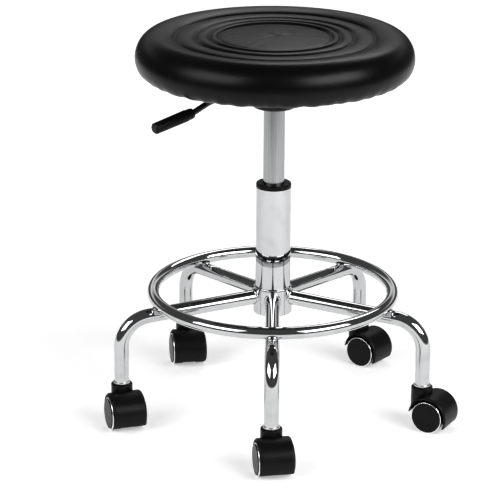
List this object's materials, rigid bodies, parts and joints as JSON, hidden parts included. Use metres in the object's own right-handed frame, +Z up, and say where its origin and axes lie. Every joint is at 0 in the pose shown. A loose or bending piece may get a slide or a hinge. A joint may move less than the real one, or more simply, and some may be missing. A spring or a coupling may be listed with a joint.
{
  "type": "adjustable swivel stool",
  "caption": "Round padded stool on a gas lift, with a release lever, a foot ring and a bent-tube base on swivelling twin-wheel casters.",
  "frame": {"origin": "on the floor, on the column's axis", "axes": "+Z up along the column; -Y towards the front leg; +X to the right of a person facing the front leg's side"},
  "size_m": [0.4648, 0.4432, 0.513],
  "materials": {
    "chrome_tube": "mirror-bright chrome plate",
    "satin_chrome": "satin chrome, fine drawn streaks along the tube",
    "black_bush": "satin moulded",
    "zinc_steel": "zinc plated",
    "black_rubber": "matte",
    "black_painted_steel": "semi-gloss black powder coat",
    "grip_plastic": "satin moulded",
    "plywood": "plywood stained black",
    "foam": "open-cell foam",
    "black_vinyl": "semi-gloss vinyl",
    "caster_nylon": "satin moulded with a faint texture",
    "wheel_nylon": "satin moulded"
  },
  "bodies": {
    "base": {"hub_tube": "chrome_tube", "column_tube": "chrome_tube", "column_bush": "black_bush", "foot_ring": "chrome_tube", "leg_front": "chrome_tube", "leg_right": "chrome_tube", "leg_back_right": "chrome_tube", "leg_back_left": "chrome_tube", "leg_left": "chrome_tube", "caster_sockets": "zinc_steel", "lower_race": "zinc_steel"},
    "lift_rod": {"ball_cage": "zinc_steel", "upper_race": "zinc_steel", "bump_stop": "black_rubber", "piston_rod": "zinc_steel", "piston": "black_bush", "rod_clip": "zinc_steel"},
    "seat": {"pressure_tube": "satin_chrome", "rod_guide": "black_bush", "valve_body": "zinc_steel", "taper_socket": "black_painted_steel", "mechanism_pan": "black_painted_steel", "pivot_pin": "zinc_steel", "seat_plate": "black_painted_steel", "seat_board": "plywood", "plate_bolts": "zinc_steel", "tee_nuts": "zinc_steel", "seat_cover": "black_vinyl", "seat_foam": "foam", "seat_staples": "zinc_steel"},
    "lever": {"lever_rod": "black_painted_steel", "lever_grip": "grip_plastic"},
    "button": {"release_button": "zinc_steel"},
    "front_caster": {"front_caster_hood": "caster_nylon", "front_caster_stem": "zinc_steel", "front_caster_axle": "zinc_steel"},
    "front_caster_wheel_a": {"front_caster_wheel_a": "wheel_nylon"},
    "front_caster_wheel_b": {"front_caster_wheel_b": "wheel_nylon"},
    "right_caster": {"right_caster_hood": "caster_nylon", "right_caster_stem": "zinc_steel", "right_caster_axle": "zinc_steel"},
    "right_caster_wheel_a": {"right_caster_wheel_a": "wheel_nylon"},
    "right_caster_wheel_b": {"right_caster_wheel_b": "wheel_nylon"},
    "back_right_caster": {"back_right_caster_hood": "caster_nylon", "back_right_caster_stem": "zinc_steel", "back_right_caster_axle": "zinc_steel"},
    "back_right_caster_wheel_a": {"back_right_caster_wheel_a": "wheel_nylon"},
    "back_right_caster_wheel_b": {"back_right_caster_wheel_b": "wheel_nylon"},
    "back_left_caster": {"back_left_caster_hood": "caster_nylon", "back_left_caster_stem": "zinc_steel", "back_left_caster_axle": "zinc_steel"},
    "back_left_caster_wheel_a": {"back_left_caster_wheel_a": "wheel_nylon"},
    "back_left_caster_wheel_b": {"back_left_caster_wheel_b": "wheel_nylon"},
    "left_caster": {"left_caster_hood": "caster_nylon", "left_caster_stem": "zinc_steel", "left_caster_axle": "zinc_steel"},
    "left_caster_wheel_a": {"left_caster_wheel_a": "wheel_nylon"},
    "left_caster_wheel_b": {"left_caster_wheel_b": "wheel_nylon"}
  },
  "joints": [
    {"name": "seat_swivel", "type": "hinge", "parent": "base", "child": "lift_rod", "pos_m": [0, 0, 0.138], "axis": [0, 0, 1], "continuous": true},
    {"name": "seat_lift", "type": "slide", "parent": "lift_rod", "child": "seat", "axis": [0, 0, 1], "range_m": [-0.09, 0.02]},
    {"name": "lever_lift", "type": "hinge", "parent": "seat", "child": "lever", "pos_m": [-0.01865, -0.0151, 0.448], "axis": [-0.6293, 0.7771, 0], "range_deg": [0, 6], "stiffness_Nm_per_rad": 8, "springref_deg": -2.86},
    {"name": "button_press", "type": "slide", "parent": "seat", "child": "button", "axis": [0, 0, -1], "range_m": [0, 0.0026]},
    {"name": "front_caster_swivel", "type": "hinge", "parent": "base", "child": "front_caster", "pos_m": [0, -0.2068, 0.0585], "axis": [0, 0, 1], "continuous": true},
    {"name": "front_caster_roll_a", "type": "hinge", "parent": "front_caster", "child": "front_caster_wheel_a", "pos_m": [0.00339, -0.22346, 0.0215], "axis": [0.9799, 0.1994, 0], "continuous": true},
    {"name": "front_caster_roll_b", "type": "hinge", "parent": "front_caster", "child": "front_caster_wheel_b", "pos_m": [0.00339, -0.22346, 0.0215], "axis": [0.9799, 0.1994, 0], "continuous": true},
    {"name": "right_caster_swivel", "type": "hinge", "parent": "base", "child": "right_caster", "pos_m": [0.19668, -0.06391, 0.0585], "axis": [0, 0, 1], "continuous": true},
    {"name": "right_caster_roll_a", "type": "hinge", "parent": "right_caster", "child": "right_caster_wheel_a", "pos_m": [0.21169, -0.07189, 0.0215], "axis": [0.4695, 0.8829, 0], "continuous": true},
    {"name": "right_caster_roll_b", "type": "hinge", "parent": "right_caster", "child": "right_caster_wheel_b", "pos_m": [0.21169, -0.07189, 0.0215], "axis": [0.4695, 0.8829, 0], "continuous": true},
    {"name": "back_right_caster_swivel", "type": "hinge", "parent": "base", "child": "back_right_caster", "pos_m": [0.12155, 0.16731, 0.0585], "axis": [0, 0, 1], "continuous": true},
    {"name": "back_right_caster_roll_a", "type": "hinge", "parent": "back_right_caster", "child": "back_right_caster_wheel_a", "pos_m": [0.13513, 0.15707, 0.0215], "axis": [0.6018, 0.7986, 0], "continuous": true},
    {"name": "back_right_caster_roll_b", "type": "hinge", "parent": "back_right_caster", "child": "back_right_caster_wheel_b", "pos_m": [0.13513, 0.15707, 0.0215], "axis": [0.6018, 0.7986, 0], "continuous": true},
    {"name": "back_left_caster_swivel", "type": "hinge", "parent": "base", "child": "back_left_caster", "pos_m": [-0.12155, 0.16731, 0.0585], "axis": [0, 0, 1], "continuous": true},
    {"name": "back_left_caster_roll_a", "type": "hinge", "parent": "back_left_caster", "child": "back_left_caster_wheel_a", "pos_m": [-0.11831, 0.15062, 0.0215], "axis": [0.9816, 0.1908, 0], "continuous": true},
    {"name": "back_left_caster_roll_b", "type": "hinge", "parent": "back_left_caster", "child": "back_left_caster_wheel_b", "pos_m": [-0.11831, 0.15062, 0.0215], "axis": [0.9816, 0.1908, 0], "continuous": true},
    {"name": "left_caster_swivel", "type": "hinge", "parent": "base", "child": "left_caster", "pos_m": [-0.19668, -0.06391, 0.0585], "axis": [0, 0, 1], "continuous": true},
    {"name": "left_caster_roll_a", "type": "hinge", "parent": "left_caster", "child": "left_caster_wheel_a", "pos_m": [-0.19114, -0.07998, 0.0215], "axis": [0.9455, 0.3256, 0], "continuous": true},
    {"name": "left_caster_roll_b", "type": "hinge", "parent": "left_caster", "child": "left_caster_wheel_b", "pos_m": [-0.19114, -0.07998, 0.0215], "axis": [0.9455, 0.3256, 0], "continuous": true}
  ],
  "couplings": [
    {"joint": "button_press", "follows": "lever_lift", "m_per_rad": 0.024}
  ]
}
